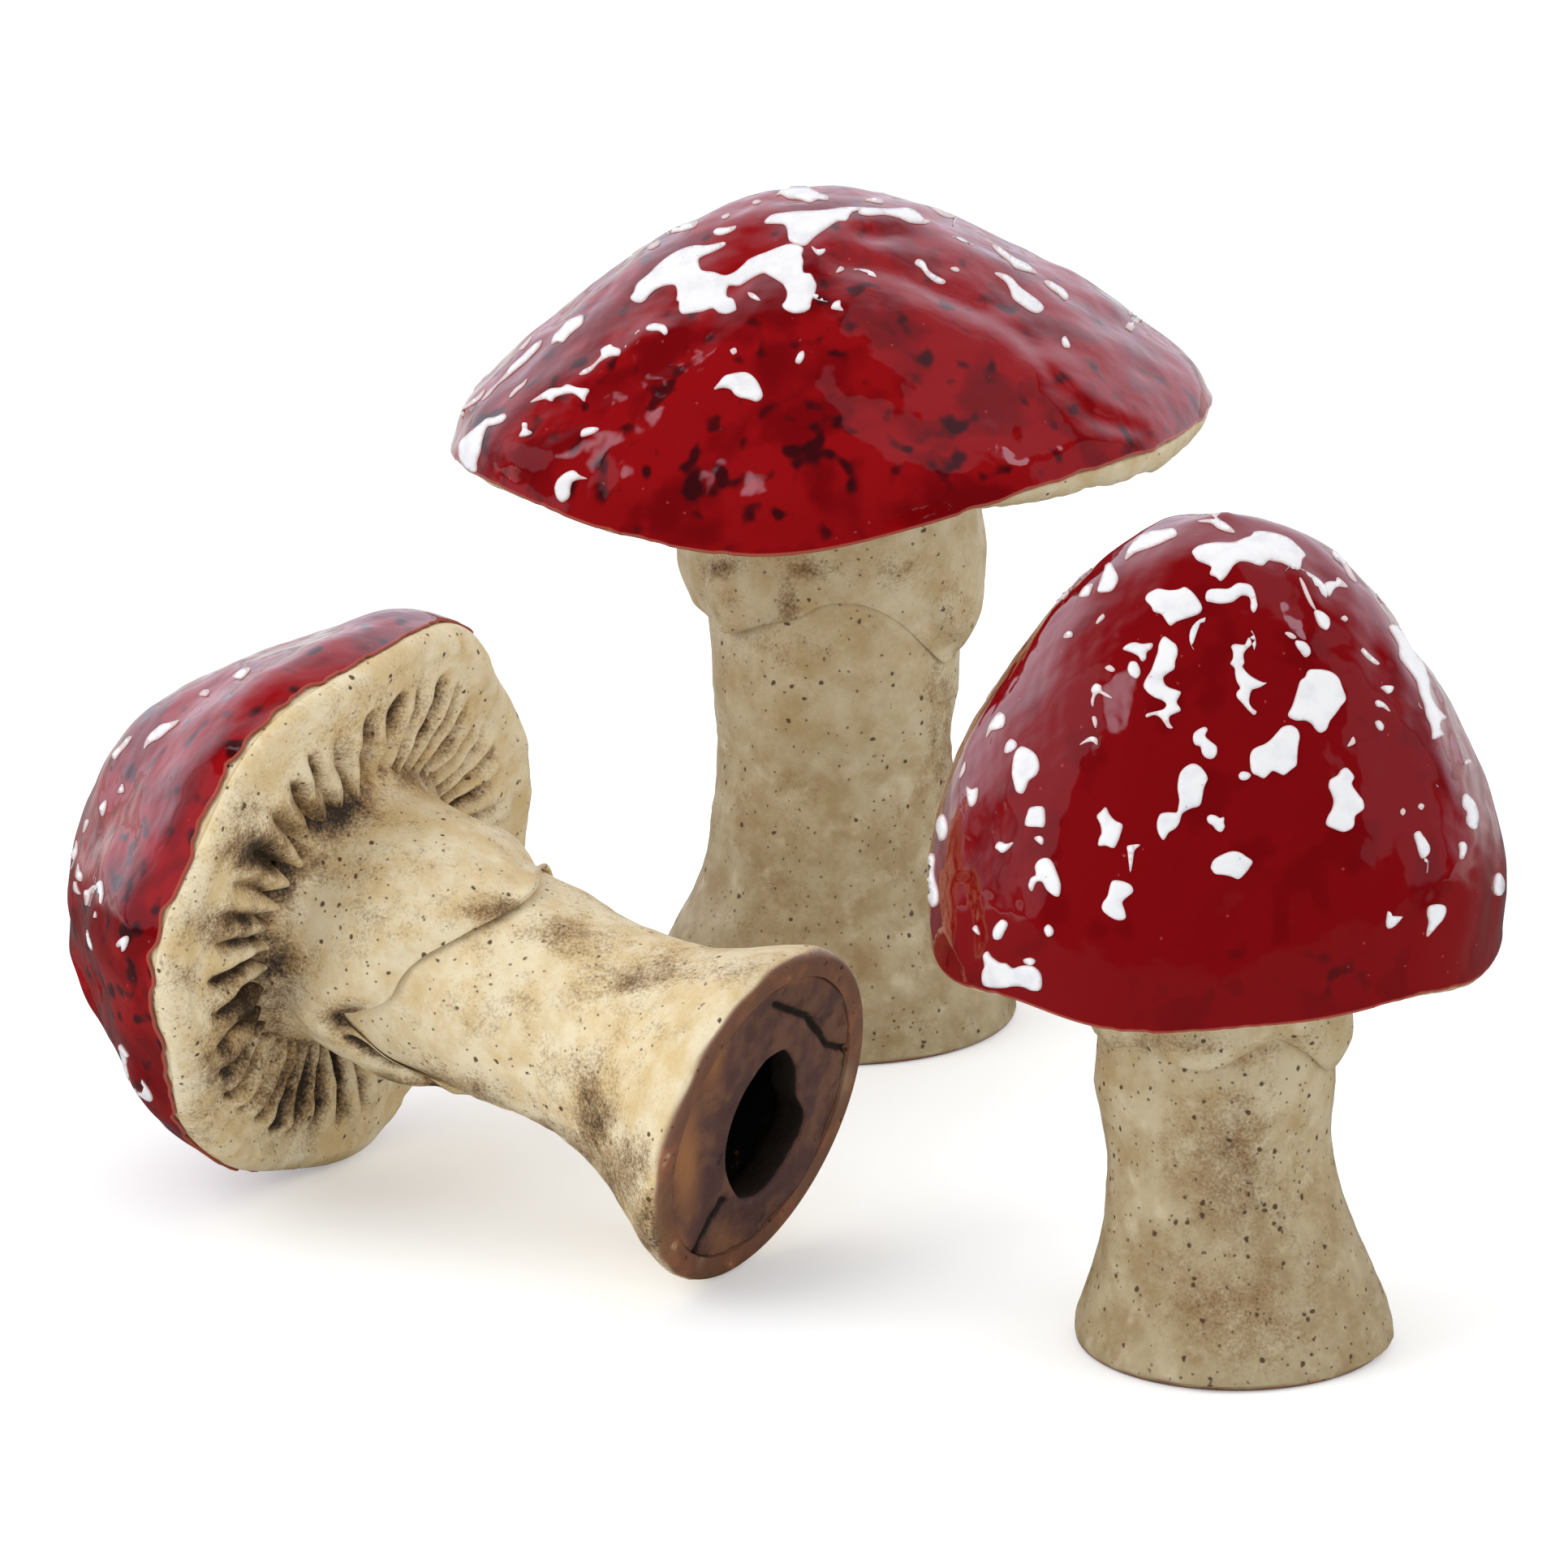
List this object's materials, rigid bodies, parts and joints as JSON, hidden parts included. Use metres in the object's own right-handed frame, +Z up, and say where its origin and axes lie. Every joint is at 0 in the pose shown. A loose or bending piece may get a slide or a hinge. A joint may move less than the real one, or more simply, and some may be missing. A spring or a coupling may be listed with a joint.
{
  "type": "ceramic mushroom ornament",
  "caption": "Set of hand-made stoneware mushrooms with glossy red glazed caps, raised white patches, clay gills, hollow stems, skirts and stake holes in the feet.",
  "frame": {"origin": "bottom centre of the whole set, on the surface it rests on", "axes": "+Z up; the picture looks along +Y with +X to the right"},
  "size_m": [0.221, 0.2574, 0.1383],
  "materials": {
    "red_glaze": "glossy mottled red glaze",
    "white_glaze": "satin white glaze",
    "stoneware": "satin speckled stoneware",
    "foot_clay": "dry brown fired clay"
  },
  "bodies": {
    "root": {"wide_cap_shell": "stoneware", "wide_gill_plate": "stoneware", "wide_red_glaze": "red_glaze", "wide_white_patches": "white_glaze", "wide_stem": "stoneware", "wide_skirt": "stoneware", "wide_foot_ring": "foot_clay", "bell_cap_shell": "stoneware", "bell_gill_plate": "stoneware", "bell_red_glaze": "red_glaze", "bell_white_patches": "white_glaze", "bell_stem": "stoneware", "bell_skirt": "stoneware", "bell_foot_ring": "foot_clay", "lying_cap_shell": "stoneware", "lying_gill_plate": "stoneware", "lying_red_glaze": "red_glaze", "lying_white_patches": "white_glaze", "lying_stem": "stoneware", "lying_skirt": "stoneware", "lying_foot_ring": "foot_clay"}
  },
  "joints": []
}
